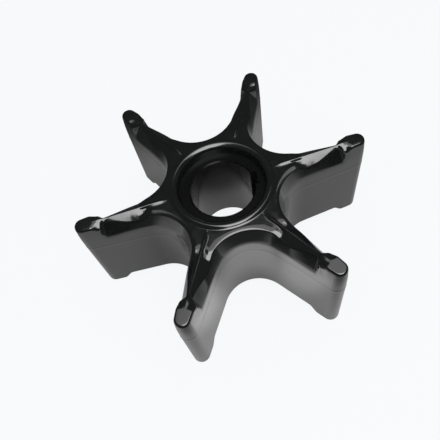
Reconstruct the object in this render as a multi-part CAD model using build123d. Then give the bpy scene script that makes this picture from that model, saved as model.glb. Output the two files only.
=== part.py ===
from build123d import *
from math import cos, radians, sin, tan
import os

# Flexible-vane pump impeller: a rubber moulding on a keyed hub bush.
# Millimetres, bore axis on +Z, resting plane at z = 0, one vane on +X.

# Overall
impeller_diameter = 65.0
impeller_height = 25.0
vane_count = 6

# Shaft bore and keyed bush
bore_diameter = 14.0
bush_wall = 2.3
bush_recess = 2.5
bush_chamfer = 0.3
keyway_width = 3.2
keyway_depth = 1.1

# Hub collar that seals round the shaft at each end
collar_rise = 1.2
collar_lean = 0.4
collar_width = 1.2
collar_outer_run = 0.7
collar_bevel = 0.35

# Vanes in plan, measured at the mould parting plane
tip_radius = 2.0
vane_flare = 5.0
valley_radius = 13.8

# Mould parting and draft
parting_height = 17.5
upper_draft = 2.5

# Vane web between the hub and the sealing pad
foot_gap = 1.5
foot_bevel = 1.2
shoulder_drop = 4.0
roof_edge_drop = 1.6
roof_edge_inset = 0.85
valley_edge_inset = 1.0
crest_drop = 0.2
crest_width = 0.6

# Sealing pads at the vane ends
pad_length = 3.9
pad_top_ramp = 1.6
pad_bottom_ramp = 2.2
pad_round = 0.9
pad_foot_bevel = 0.5

pitch = 360 / vane_count
bush_radius = bore_diameter / 2 + bush_wall
outer_radius = impeller_diameter / 2
flank_distance = tip_radius + (outer_radius - tip_radius) * sin(radians(vane_flare))
shoulder_height = impeller_height - shoulder_drop
roof_edge_height = impeller_height - roof_edge_drop
crest_height = impeller_height - crest_drop


def draft_inset(height):
    """How far the upper mould half's draft pulls the outline in at one height."""
    return max(0, height - parting_height) * tan(radians(upper_draft))


def star_face(height, valley, flank_distance, flare, reach):
    """Vanes with round ends, joined by arcs tangent to their flanks."""
    normal = Vector(sin(radians(flare)), cos(radians(flare)))
    end_radius = (flank_distance - reach * normal.X) / (1 - normal.X)
    tip_centre = Vector(reach - end_radius, 0)
    arc_distance = (valley - flank_distance) / (1 - sin(radians(pitch / 2 + flare)))
    arc_centre = Vector(arc_distance, 0).rotate(Axis.Z, pitch / 2)
    root = arc_centre - normal * (arc_distance - valley)
    shoulder = tip_centre + normal * end_radius
    root_below = Vector(root.X, -root.Y)
    shoulder_below = Vector(shoulder.X, -shoulder.Y)
    valley_point = Vector(valley, 0).rotate(Axis.Z, pitch / 2)
    vane = [
        Line(root_below, shoulder_below),
        ThreePointArc(shoulder_below, Vector(reach, 0), shoulder),
        Line(shoulder, root),
        ThreePointArc(root, valley_point, root_below.rotate(Axis.Z, pitch)),
    ]
    edges = [Rot(0, 0, pitch * k) * edge for k in range(vane_count) for edge in vane]
    return Pos(0, 0, height) * Face(Wire(edges))


def side_face(height, inset=0.0, reach=outer_radius):
    """The star outline at one height, with the draft and any further inset taken off."""
    pull = draft_inset(height) + inset
    return star_face(height, valley_radius - pull, flank_distance - pull, vane_flare, reach - pull)


def make_web():
    """Hub and vanes short of the pads: upright flanks, scooped shoulders, a low roof to the crest."""
    reach = outer_radius - pad_length / 2
    crest = star_face(crest_height, bush_radius, crest_width / 2, 0, reach)
    pull = draft_inset(shoulder_height)
    edge_valley = valley_radius - pull - valley_edge_inset
    edge_flank = flank_distance - pull - roof_edge_inset
    edge_reach = reach - pull - roof_edge_inset
    levels = [
        side_face(foot_gap, foot_bevel, reach),
        side_face(foot_gap + foot_bevel, 0, reach),
        side_face(parting_height, 0, reach),
        side_face(shoulder_height, 0, reach),
        star_face(roof_edge_height, edge_valley, edge_flank, vane_flare, edge_reach),
        crest,
    ]
    return loft(levels, ruled=True)


def make_pads():
    """Full-height sealing pads: the vane outline kept only beyond a ramped ring."""
    star = loft([side_face(0), side_face(parting_height), side_face(impeller_height)], ruled=True)
    cap = outer_radius - pad_length
    beyond = impeller_diameter
    ring = Polyline(
        (cap - pad_bottom_ramp, foot_gap + foot_bevel),
        (cap, 0),
        (beyond, 0),
        (beyond, impeller_height),
        (cap, impeller_height),
        (cap - pad_top_ramp, roof_edge_height),
        close=True,
    )
    pads = star & revolve(Plane.XZ * make_face(ring))
    pads = fillet(pads.edges().group_by(Axis.Z)[-1], pad_round)
    return chamfer(pads.edges().group_by(Axis.Z)[0], pad_foot_bevel)


def make_hub():
    """Ring round the bush, with a raised sealing collar at each end."""
    inner_top = bush_radius + collar_lean
    outer_top = inner_top + collar_width
    outer = outer_top + collar_outer_run
    middle = impeller_height / 2
    half = Polyline(
        (bush_radius, middle),
        (bush_radius, impeller_height - bush_recess),
        (inner_top, impeller_height),
        (outer_top, impeller_height),
        (outer, impeller_height - collar_rise),
        (outer, middle),
        close=True,
    )
    section = make_face(half)
    section = chamfer(section.vertices().filter_by_position(Axis.Y, impeller_height, impeller_height), collar_bevel)
    upper = revolve(Plane.XZ * section)
    return upper + mirror(upper, Plane.XY.offset(middle))


def make_vane_body():
    """Rubber moulding: web, pads and hub, open through the middle for the bush."""
    opening = Pos(0, 0, impeller_height / 2) * Cylinder(bush_radius + collar_lean, 2 * impeller_height)
    return make_web() - opening + make_hub() + make_pads()


def make_hub_bush():
    """Rigid bush bonded in the hub, with the bore and a keyway broached along it."""
    length = impeller_height - 2 * bush_recess
    bore_radius = bore_diameter / 2
    bush = Cylinder(bush_radius, length) - Cylinder(bore_radius, length)
    bush = chamfer(bush.edges().filter_by(GeomType.CIRCLE).sort_by(SortBy.RADIUS)[:2], bush_chamfer)
    keyway = Pos(bore_radius, 0, 0) * Box(2 * keyway_depth, keyway_width, length)
    return Pos(0, 0, impeller_height / 2) * (bush - keyway)


os.makedirs("parts", exist_ok=True)
export_step(make_vane_body(), "parts/vane_body.step")
export_step(make_hub_bush(), "parts/hub_bush.step")
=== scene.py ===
from math import cos, pi, radians, sin

import bmesh
import bpy
from mathutils import Matrix, Vector


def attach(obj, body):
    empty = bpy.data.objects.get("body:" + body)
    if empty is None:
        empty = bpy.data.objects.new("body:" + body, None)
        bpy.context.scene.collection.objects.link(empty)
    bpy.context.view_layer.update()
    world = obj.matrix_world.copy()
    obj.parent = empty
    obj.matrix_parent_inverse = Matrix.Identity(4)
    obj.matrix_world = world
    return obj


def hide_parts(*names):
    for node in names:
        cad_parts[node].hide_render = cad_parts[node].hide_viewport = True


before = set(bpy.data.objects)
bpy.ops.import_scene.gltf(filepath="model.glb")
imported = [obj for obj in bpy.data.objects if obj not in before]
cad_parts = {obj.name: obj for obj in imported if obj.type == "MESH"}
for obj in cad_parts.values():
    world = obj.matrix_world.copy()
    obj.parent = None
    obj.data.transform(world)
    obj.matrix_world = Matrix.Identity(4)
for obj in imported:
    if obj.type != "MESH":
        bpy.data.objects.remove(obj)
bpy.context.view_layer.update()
scene = bpy.context.scene

# Rubber vane body: one compression moulding of nitrile rubber. Six straight vanes run out from the
# hub and end in full-height pads that seal on the end plates. The mould parts two thirds of the way
# up, so a thin line runs round every flank, and the rubber is bonded round the bush in the middle.
mm = 0.001
vane_count = 6
height = 25.0
outer_radius = 32.5
tip_radius = 2.0
vane_flare = radians(5.0)
valley_radius = 13.8
parting_height = 17.5
foot_height = 1.5
crest_height = 24.72
hub_top = 24.4
bush_radius = 9.3
bush_recess = 2.5
collar_foot = 11.45

# Distances from the bore axis at which the sections change. A bow is where the crest, the rim or the
# side starts to rise to the pad, and the last three sizes count on from it.
hub_step = (16.3, 18.7)
scoop = (20.0, 25.6)
bottom_ramp = (26.3, 28.6)
crest_bow = 25.4
rim_bow = 25.9
side_bow = 27.3
bow_length = 1.6
facet_length = 1.3
pad_ramp = (1.0, 3.0)

half_pitch = pi / vane_count
flank_normal = Vector((sin(vane_flare), cos(vane_flare)))
flank_distance = tip_radius + (outer_radius - tip_radius) * flank_normal.x
tip_centre = Vector((outer_radius - tip_radius, 0))
arc_distance = (valley_radius - flank_distance) / (1 - sin(half_pitch + vane_flare))
arc_radius = arc_distance - valley_radius
arc_centre = arc_distance * Vector((cos(half_pitch), sin(half_pitch)))
flank_root = arc_centre - arc_radius * flank_normal
flank_end = tip_centre + tip_radius * flank_normal


def blend(value, start, end):
    """0 at start, 1 at end, with a soft S between them."""
    t = min(max((value - start) / (end - start), 0), 1)
    return t * t * (3 - 2 * t)


def rounded(corners, steps=8):
    """A section through corners of (across, up, round before, round after)."""
    points = [Vector(corners[0])]
    for before, corner, after in zip(corners, corners[1:], corners[2:]):
        here = Vector(corner[:2])
        start = here + (Vector(before[:2]) - here).normalized() * corner[2]
        end = here + (Vector(after[:2]) - here).normalized() * corner[3]
        for k in range(steps + 1):
            t = k / steps
            points.append((1 - t) ** 2 * start + 2 * t * (1 - t) * here + t * t * end)
    points.append(Vector(corners[-1]))
    return points


# A station is a place along a sixth of the plan: 0 to 1 round half a valley, 1 to 2 along a flank
# and 2 to 3 round half a tip. Up to the hub's last station the skin runs in to the collar's foot,
# and beyond it to the vane's centre line. Stations lie closer where the pad rises.
hub_station = 0.55
close_from = 1.6
valley_steps, root_steps, end_steps, tip_steps = 20, 26, 38, 12
stations = [k / valley_steps for k in range(valley_steps)]
stations += [1 + k / root_steps * (close_from - 1) for k in range(root_steps)]
stations += [close_from + k / end_steps * (2 - close_from) for k in range(end_steps)]
stations += [2 + k / tip_steps for k in range(tip_steps + 1)]
station_slack = 0.001
hub_limit = hub_station + station_slack
tip_spine_run = 0.2


def outline(station):
    """The plan's point at one station, and its outward direction."""
    if station < 1:
        turn = half_pitch + station * (pi / 2 - vane_flare - half_pitch)
        outward = Vector((cos(turn), sin(turn)))
        return arc_centre - arc_radius * outward, outward
    if station < 2:
        return flank_root.lerp(flank_end, station - 1), flank_normal
    turn = (3 - station) * (pi / 2 - vane_flare)
    outward = Vector((cos(turn), sin(turn)))
    return tip_centre + tip_radius * outward, outward


def spine(station):
    """Where the skin meets the hub collar's foot, and beyond it the vane's centre line."""
    if station <= hub_station:
        turn = half_pitch * (1 - station / hub_station)
        return collar_foot * Vector((cos(turn), sin(turn)))
    if station < 1:
        along = (station - hub_station) / (1 - hub_station)
        return Vector((collar_foot + along * (flank_root.x - collar_foot), 0))
    if station < 2:
        return Vector((flank_root.x + (station - 1) * (flank_end.x - flank_root.x), 0))
    return Vector((flank_end.x + tip_spine_run * (station - 2), 0))


# Sections from the parting line, as distance in from the plan's outline and height. The flanks
# stand back a little on both sides of the line, which leaves it proud.
flank_inset = 0.07
line_inset = 0.02
above_line = [
    (flank_inset, parting_height + 0.2),
    (flank_inset, parting_height + 0.7, 0.1, 0.1),
]
below_line = [
    (flank_inset, parting_height - 0.2),
    (flank_inset, parting_height - 0.7, 0.1, 0.1),
    (flank_inset, 10.0, 1.0, 1.0),
]
upper_hub = rounded(above_line + [(0.1, 20.7, 0.8, 0.8), (1.27, 24.2, 0.22, 0.1), (2.0, hub_top)])
upper_web = rounded(above_line + [(0.1, 20.8, 0.8, 0.8), (0.95, 23.2, 0.4, 0.25), (1.3, 23.48)])
upper_scoop = rounded(above_line + [(0.1, 20.6, 0.9, 0.9), (1.8, 24.2, 0.4, 0.2), (2.05, 24.42)])
upper_bow = rounded(above_line + [(0.1, 21.2, 0.9, 0.9), (0.45, 23.8, 0.6, 0.4), (1.7, 24.75)])
upper_pad = rounded(above_line + [(0.1, 21.2, 1.4, 1.4), (0.38, height, 0.9, 0.45), (1.6, height)])
lower_web = rounded(below_line + [(0.08, foot_height, 1.3, 1.3), (1.7, foot_height)])
lower_pad = rounded(below_line + [(0.08, 0.0, 0.8, 0.8), (1.55, 0.0)])
inner_rows = [0.2, 0.4, 0.58, 0.7, 0.77, 0.84, 0.9, 0.95, 1.0]
collar = rounded(
    [
        (collar_foot, hub_top),
        (10.9, height, 0.4, 0.25),
        (10.25, height, 0.25, 0.25),
        (9.5, height - 0.5, 0.4, 0.6),
        (bush_radius, height - bush_recess, 0.1, 0.1),
        (bush_radius, height / 2),
    ]
)

# The ridge runs up steeply near the hub, from this share of the way in and over this share, and
# the crest leaves the hub's top over a short run. The roof between rim and crest is a little domed.
ridge_start = 0.72
ridge_run = 0.25
crest_lift = (collar_foot + 0.75, collar_foot + 2.15)
roof_dome = 0.12


def upper_point(hub, web, scooped, bowed, pad, bow, station):
    """A point of the side above the parting line, from the sections of hub, vane, scoop, bow and pad."""
    edge, outward = outline(station)
    section = hub.lerp(web, blend(edge.x, *hub_step)).lerp(scooped, blend(edge.x, *scoop))
    section = section.lerp(bowed, blend(edge.x, bow, bow + facet_length))
    section = section.lerp(pad, blend(edge.x, bow + pad_ramp[0], bow + pad_ramp[1]))
    flat = edge - section.x * outward
    return Vector((flat.x, flat.y, section.y))


def top_point(depth, station):
    """A point of the top, from the rim at depth 0 in to the hub's level top or the vane's ridge."""
    rim = upper_point(
        upper_hub[-1], upper_web[-1], upper_scoop[-1], upper_bow[-1], upper_pad[-1], rim_bow, station
    )
    foot = spine(station)
    crest = hub_top
    if station > hub_station - station_slack:
        crest += blend(foot.x, *crest_lift) * (crest_height - hub_top)
    crest += blend(foot.x, crest_bow, crest_bow + bow_length) * (height - crest)
    ridge = min(max((depth - ridge_start) / ridge_run, 0), 1)
    roof = depth + roof_dome * depth * (1 - depth)
    rise = ridge + blend(foot.x, *hub_step) * (roof - ridge)
    flat = Vector(rim[:2]).lerp(foot, depth)
    return Vector((flat.x, flat.y, rim.z + rise * (crest - rim.z)))


def lower_point(web, pad, station):
    """A point of the side below the parting line: the vane's section, then the pad's."""
    edge, outward = outline(station)
    section = web.lerp(pad, blend(edge.x, *bottom_ramp))
    flat = edge - section.x * outward
    return Vector((flat.x, flat.y, section.y))


def under_point(depth, station):
    """A point of the underside, at the web's foot or at the pad's face."""
    rim = lower_point(lower_web[-1], lower_pad[-1], station)
    foot = spine(station)
    level = foot_height * (1 - blend(foot.x, *bottom_ramp))
    return rim.lerp(Vector((foot.x, foot.y, level)), depth)


def hub_point(radius, level, station):
    """A point of the hub's turned part: the collars and the bush seat."""
    turn = half_pitch * (1 - station / hub_station)
    return Vector((radius * cos(turn), radius * sin(turn), level))


skin = bmesh.new()
mark = skin.verts.layers.float.new("station")
line_point = Vector((line_inset, parting_height))
chain = [skin.verts.new(lower_point(line_point, line_point, station)) for station in stations]
for vertex, station in zip(chain, stations):
    vertex[mark] = station
parting_line = [skin.edges.new(pair) for pair in zip(chain, chain[1:])]


def pull_row(edges, place, limit=3 + station_slack):
    """Extrudes a row of edges and sets each new vertex where its station puts it."""
    edges = [e for e in edges if max(v[mark] for v in e.verts) < limit]
    grown = bmesh.ops.extrude_edge_only(skin, edges=edges)["geom"]
    for vertex in (g for g in grown if isinstance(g, bmesh.types.BMVert)):
        vertex.co = place(vertex[mark])
    return [g for g in grown if isinstance(g, bmesh.types.BMEdge)]


# Up the side, in over the top, and down the collar to the middle of the bush.
row = parting_line
for k, corners in enumerate(zip(upper_hub, upper_web, upper_scoop, upper_bow, upper_pad)):
    bow = side_bow + (rim_bow - side_bow) * k / (len(upper_hub) - 1)
    row = pull_row(row, lambda s: upper_point(*corners, bow, s))
for depth in inner_rows:
    row = pull_row(row, lambda s: top_point(depth, s))
for point in collar:
    row = pull_row(row, lambda s: hub_point(point.x, point.y, s), hub_limit)

# The same way down and in below. The lower collar mirrors the upper, but starts at the web's foot.
row = parting_line
for web, pad in zip(lower_web, lower_pad):
    row = pull_row(row, lambda s: lower_point(web, pad, s))
for depth in inner_rows:
    row = pull_row(row, lambda s: under_point(depth, s))
for k, point in enumerate(collar):
    level = height - point.y if k else foot_height
    row = pull_row(row, lambda s: hub_point(point.x, level, s), hub_limit)

bmesh.ops.mirror(
    skin,
    geom=skin.verts[:] + skin.edges[:] + skin.faces[:],
    matrix=Matrix(),
    merge_dist=0.001,
    axis="Y",
)
bmesh.ops.spin(
    skin,
    geom=skin.verts[:] + skin.edges[:] + skin.faces[:],
    cent=(0, 0, 0),
    axis=(0, 0, 1),
    angle=2 * pi * (vane_count - 1) / vane_count,
    steps=vane_count - 1,
    use_duplicate=True,
)
bmesh.ops.remove_doubles(skin, verts=skin.verts, dist=0.002)
bmesh.ops.recalc_face_normals(skin, faces=skin.faces)
bmesh.ops.scale(skin, vec=(mm, mm, mm), verts=skin.verts)
for face in skin.faces:
    face.smooth = True
vane_mesh = bpy.data.meshes.new("vane_body_skin")
skin.to_mesh(vane_mesh)
skin.free()
vane_body = bpy.data.objects.new("vane_body_skin", vane_mesh)
scene.collection.objects.link(vane_body)


def srgb(code):
    """A hex colour as the linear values a shader takes."""
    parts = [int(code[k : k + 2], 16) / 255 for k in (1, 3, 5)]
    return [p / 12.92 if p <= 0.04045 else ((p + 0.055) / 1.055) ** 2.4 for p in parts] + [1.0]


def node_material(name):
    """A new material with an empty tree, and the tree."""
    material = bpy.data.materials.new(name)
    material.use_nodes = True
    material.node_tree.nodes.clear()
    return material, material.node_tree


def add_node(tree, kind, settings=None, links=None):
    """Adds a node, sets its fields or inputs, and links inputs to (node, output) pairs."""
    node = tree.nodes.new(kind)
    for name, value in (settings or {}).items():
        if isinstance(name, int) or name in node.inputs:
            node.inputs[name].default_value = value
        else:
            setattr(node, name, value)
    for name, (source, output) in (links or {}).items():
        tree.links.new(source.outputs[output], node.inputs[name])
    return node


# A mix node has sockets of one name for numbers, vectors and colours, so its colours go by place.
mix_from, mix_to, mix_result = 6, 7, 2

# Moulded nitrile rubber, straight from a polished mould: near black, with a wet-looking gloss that
# breaks up where the surface waves a little, and a fine grain that is drawn coarser than the real.
wave_length = 4.0 * mm
wave_height = 0.12 * mm
grain_size = 0.35 * mm
grain_height = 0.03 * mm
rubber, tree = node_material("moulded_nitrile_rubber")
place = add_node(tree, "ShaderNodeTexCoord")
wave = add_node(
    tree,
    "ShaderNodeTexNoise",
    {"Scale": 1 / wave_length, "Detail": 2.0},
    {"Vector": (place, "Object")},
)
grain = add_node(
    tree,
    "ShaderNodeTexNoise",
    {"Scale": 1 / grain_size, "Detail": 3.0},
    {"Vector": (place, "Object")},
)
soft = add_node(
    tree,
    "ShaderNodeBump",
    {"Strength": 0.4, "Distance": wave_height},
    {"Height": (wave, "Fac")},
)
bump = add_node(
    tree,
    "ShaderNodeBump",
    {"Strength": 0.06, "Distance": grain_height},
    {"Height": (grain, "Fac"), "Normal": (soft, "Normal")},
)
gloss = add_node(
    tree,
    "ShaderNodeMapRange",
    {"From Min": 0.35, "From Max": 0.65, "To Min": 0.1, "To Max": 0.22},
    {"Value": (wave, "Fac")},
)
tint = add_node(
    tree,
    "ShaderNodeMix",
    {"data_type": "RGBA", mix_from: srgb("#0f1010"), mix_to: srgb("#161818")},
    {"Factor": (grain, "Fac")},
)
shader = add_node(
    tree,
    "ShaderNodeBsdfPrincipled",
    {"IOR": 2.0, "Coat Weight": 0.8, "Coat Roughness": 0.1},
    {
        "Base Color": (tint, mix_result),
        "Roughness": (gloss, "Result"),
        "Normal": (bump, "Normal"),
    },
)
add_node(tree, "ShaderNodeOutputMaterial", links={"Surface": (shader, "BSDF")})
vane_mesh.materials.append(rubber)
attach(vane_body, "root")
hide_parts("vane_body")

# Hub bush: a rigid moulded nylon ring with the shaft bore and a keyway down its wall. The rubber is
# moulded and bonded round it, and spreads in a thin film over both its end faces.
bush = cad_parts["hub_bush"]

# Moulded nylon, smoothed by the core pin: black and glossy, with faint streaks along the draw.
streak_width = 0.8 * mm
streak_length = 12.0 * mm
streak_height = 0.05 * mm
nylon, tree = node_material("moulded_nylon")
place = add_node(tree, "ShaderNodeTexCoord")
drawn = add_node(
    tree,
    "ShaderNodeMapping",
    {"Scale": (1 / streak_width, 1 / streak_width, 1 / streak_length)},
    {"Vector": (place, "Object")},
)
streak = add_node(
    tree,
    "ShaderNodeTexNoise",
    {"Scale": 1.0, "Detail": 3.0},
    {"Vector": (drawn, "Vector")},
)
bump = add_node(
    tree,
    "ShaderNodeBump",
    {"Strength": 0.3, "Distance": streak_height},
    {"Height": (streak, "Fac")},
)
gloss = add_node(
    tree,
    "ShaderNodeMapRange",
    {"To Min": 0.12, "To Max": 0.3},
    {"Value": (streak, "Fac")},
)
tint = add_node(
    tree,
    "ShaderNodeMix",
    {"data_type": "RGBA", mix_from: srgb("#0c0d0d"), mix_to: srgb("#141515")},
    {"Factor": (streak, "Fac")},
)
shader = add_node(
    tree,
    "ShaderNodeBsdfPrincipled",
    {"IOR": 2.2, "Coat Weight": 1.0, "Coat Roughness": 0.12},
    {
        "Base Color": (tint, mix_result),
        "Roughness": (gloss, "Result"),
        "Normal": (bump, "Normal"),
    },
)
add_node(tree, "ShaderNodeOutputMaterial", links={"Surface": (shader, "BSDF")})

# A film of rubber on the end faces: flat black, duller and darker than the moulding around it. This
# is partly painted shade, which keeps the end faces deep in the recesses at the bore dark.
film_grain = 0.6 * mm
film_height = 0.03 * mm
film_and_painted_shade, tree = node_material("rubber_film_and_painted_shade")
place = add_node(tree, "ShaderNodeTexCoord")
grain = add_node(
    tree,
    "ShaderNodeTexNoise",
    {"Scale": 1 / film_grain, "Detail": 3.0},
    {"Vector": (place, "Object")},
)
bump = add_node(
    tree,
    "ShaderNodeBump",
    {"Strength": 0.2, "Distance": film_height},
    {"Height": (grain, "Fac")},
)
gloss = add_node(
    tree,
    "ShaderNodeMapRange",
    {"To Min": 0.2, "To Max": 0.35},
    {"Value": (grain, "Fac")},
)
shader = add_node(
    tree,
    "ShaderNodeBsdfPrincipled",
    {"Base Color": srgb("#0b0c0c"), "IOR": 1.35},
    {"Roughness": (gloss, "Result"), "Normal": (bump, "Normal")},
)
add_node(tree, "ShaderNodeOutputMaterial", links={"Surface": (shader, "BSDF")})

# The end faces take the film, whose dull dark black paints the shade in the recesses.
end_face_tilt = 0.5
bush.data.materials.clear()
bush.data.materials.append(nylon)
bush.data.materials.append(film_and_painted_shade)
for face in bush.data.polygons:
    face.material_index = 1 if abs(face.normal.z) > end_face_tilt else 0

# White paper under the impeller, a hair below its pads. The eye sees plain white that takes a shadow.
# Only the rubber's gloss sees light and shade painted on it: a painted pool of light before the hub
# and a painted patch of light under the bore, greyer further out, and painted shade in front.
paper_size = 3.0
paper_gap = 0.02 * mm
paper_white = "#f8fafb"
glow_share = 0.95
# Where the light and shade painted for the gloss lie: the pool, the shade in front, the patch under the
# bore.
painted_pool_reach = 100.0 * mm
painted_pool_y = -24.0 * mm
painted_front_shade_fade = (-53.0 * mm, -29.0 * mm)
painted_throat_reach = 10.0 * mm
painted_throat_centre = (1.0 * mm, 5.0 * mm)
floor_mesh = bpy.data.meshes.new("floor")
base = bmesh.new()
bmesh.ops.create_grid(base, x_segments=1, y_segments=1, size=paper_size)
bmesh.ops.translate(base, vec=(0, 0, -paper_gap), verts=base.verts)
base.to_mesh(floor_mesh)
base.free()
floor = bpy.data.objects.new("floor", floor_mesh)
scene.collection.objects.link(floor)

paper_with_painted_light, tree = node_material("white_paper_with_painted_light")
paper_with_painted_light.cycles.emission_sampling = "NONE"
place = add_node(tree, "ShaderNodeTexCoord")
# The painted pool of light: white near its centre, greyer and then dark further out.
painted_pool_place = add_node(
    tree,
    "ShaderNodeMapping",
    {"Location": (0, -painted_pool_y / painted_pool_reach, 0), "Scale": (1 / painted_pool_reach,) * 3},
    {"Vector": (place, "Object")},
)
painted_light_pool = add_node(
    tree,
    "ShaderNodeTexGradient",
    {"gradient_type": "SPHERICAL"},
    {"Vector": (painted_pool_place, "Vector")},
)
painted_pool_ramp = add_node(tree, "ShaderNodeValToRGB", {}, {"Fac": (painted_light_pool, "Fac")})
painted_pool_ramp.color_ramp.interpolation = "EASE"
painted_pool_dark_edge, painted_pool_centre = painted_pool_ramp.color_ramp.elements
painted_pool_dark_edge.position, painted_pool_dark_edge.color = 0.25, srgb("#3a3b3b")
painted_pool_centre.position, painted_pool_centre.color = 0.96, srgb("#ffffff")
for position, painted_pool_grey in ((0.53, "#a6a7a7"), (0.82, "#b0b1b1"), (0.9, "#c4c5c5")):
    painted_pool_ramp.color_ramp.elements.new(position).color = srgb(painted_pool_grey)
axes = add_node(tree, "ShaderNodeSeparateXYZ", {}, {"Vector": (place, "Object")})
# Painted shade that darkens the paper towards the front, for the gloss alone.
painted_front_shade = add_node(
    tree,
    "ShaderNodeMapRange",
    {
        "interpolation_type": "SMOOTHSTEP",
        "From Min": painted_front_shade_fade[0],
        "From Max": painted_front_shade_fade[1],
        "To Min": 0.12,
        "To Max": 1.0,
    },
    {"Value": (axes, "Y")},
)
painted_pool_and_front_shade = add_node(
    tree,
    "ShaderNodeMath",
    {"operation": "MULTIPLY"},
    {0: (painted_pool_ramp, "Color"), 1: (painted_front_shade, "Result")},
)
# The painted patch of light under the bore, which the bore's wall reflects low down; the lighter of it
# and the pool is taken.
painted_throat_place = add_node(
    tree,
    "ShaderNodeMapping",
    {
        "Location": (-painted_throat_centre[0] / painted_throat_reach, -painted_throat_centre[1] / painted_throat_reach, 0),
        "Scale": (1 / painted_throat_reach,) * 3,
    },
    {"Vector": (place, "Object")},
)
painted_throat_light = add_node(
    tree,
    "ShaderNodeTexGradient",
    {"gradient_type": "SPHERICAL"},
    {"Vector": (painted_throat_place, "Vector")},
)
painted_throat_level = add_node(tree, "ShaderNodeMapRange", {"From Max": 0.6}, {"Value": (painted_throat_light, "Fac")})
painted_floor_light = add_node(
    tree,
    "ShaderNodeMath",
    {"operation": "MAXIMUM"},
    {0: (painted_pool_and_front_shade, "Value"), 1: (painted_throat_level, "Result")},
)
# Glossy rays see the painted light and shade; all other rays see the plain white paper.
ray = add_node(tree, "ShaderNodeLightPath")
painted_gloss_colour = add_node(
    tree,
    "ShaderNodeMix",
    {"data_type": "RGBA", mix_from: srgb(paper_white)},
    {"Factor": (ray, "Is Glossy Ray"), mix_to: (painted_floor_light, "Value")},
)
matt = add_node(tree, "ShaderNodeBsdfDiffuse", {}, {"Color": (painted_gloss_colour, mix_result)})
glow = add_node(tree, "ShaderNodeEmission", {"Color": srgb(paper_white), "Strength": 1.0})
share = add_node(
    tree,
    "ShaderNodeMath",
    {"operation": "MULTIPLY", 1: glow_share},
    {0: (ray, "Is Camera Ray")},
)
seen = add_node(
    tree,
    "ShaderNodeMixShader",
    {},
    {"Fac": (share, "Value"), 1: (matt, "BSDF"), 2: (glow, "Emission")},
)
add_node(tree, "ShaderNodeOutputMaterial", links={"Surface": (seen, "Shader")})
floor_mesh.materials.append(paper_with_painted_light)

# The room around the paper: plain white light from all sides at half strength, a white backdrop to
# the eye, and next to nothing in the gloss, so that the rubber reads as black.
room_strength = 0.5
gloss_strength = 0.03
white = (1, 1, 1, 1)
world = bpy.data.worlds.new("studio")
scene.world = world
world.use_nodes = True
world.cycles.sampling_method = "NONE"
tree = world.node_tree
tree.nodes.clear()
ray = add_node(tree, "ShaderNodeLightPath")
room = add_node(tree, "ShaderNodeBackground", {"Color": white, "Strength": room_strength})
dark = add_node(tree, "ShaderNodeBackground", {"Color": white, "Strength": gloss_strength})
backdrop = add_node(tree, "ShaderNodeBackground", {"Color": srgb(paper_white), "Strength": 1.0})
lit = add_node(
    tree,
    "ShaderNodeMixShader",
    {},
    {"Fac": (ray, "Is Glossy Ray"), 1: (room, "Background"), 2: (dark, "Background")},
)
seen = add_node(
    tree,
    "ShaderNodeMixShader",
    {},
    {"Fac": (ray, "Is Camera Ray"), 1: (lit, "Shader"), 2: (backdrop, "Background")},
)
add_node(tree, "ShaderNodeOutputWorld", links={"Surface": (seen, "Shader")})

# Two flat lamps hang level overhead: a wide softbox towards the front, whose reflection gives the
# vanes their streaks, and a faint narrow panel behind it that greys the tops of the pads.
lamp_x = 0.05
lamp_z = 0.4
lamp_width = 0.32
for name, y, length, energy in (("softbox", -0.28, 0.54, 1.6), ("panel", 0.08, 0.18, 0.13)):
    lamp_data = bpy.data.lights.new(name, "AREA")
    lamp_data.shape = "RECTANGLE"
    lamp_data.size = lamp_width
    lamp_data.size_y = length
    lamp_data.energy = energy
    lamp = bpy.data.objects.new(name, lamp_data)
    lamp.location = (lamp_x, y, lamp_z)
    scene.collection.objects.link(lamp)

# The camera looks down from in front and is rolled a little to one side. It stands close, so the
# far vanes look shorter than the near ones.
target = Vector((-2.24, -1.65, 12.56)) * mm
distance = 112.3 * mm
azimuth, elevation, roll = radians(-4.52), radians(59.32), radians(-13.69)
sensor_width = 36.0
picture_width_pixels = 440
focal_length_pixels = 486.5
back = Vector((sin(azimuth) * cos(elevation), -cos(azimuth) * cos(elevation), sin(elevation)))
facing = back.to_track_quat("Z", "Y").to_matrix().to_4x4() @ Matrix.Rotation(roll, 4, "Z")
camera_data = bpy.data.cameras.new("camera")
camera_data.sensor_width = sensor_width
camera_data.clip_start = 0.01
camera_data.lens = focal_length_pixels / picture_width_pixels * sensor_width
camera = bpy.data.objects.new("camera", camera_data)
camera.matrix_world = Matrix.Translation(target + back * distance) @ facing
scene.collection.objects.link(camera)
scene.camera = camera
scene.view_settings.view_transform = "Standard"
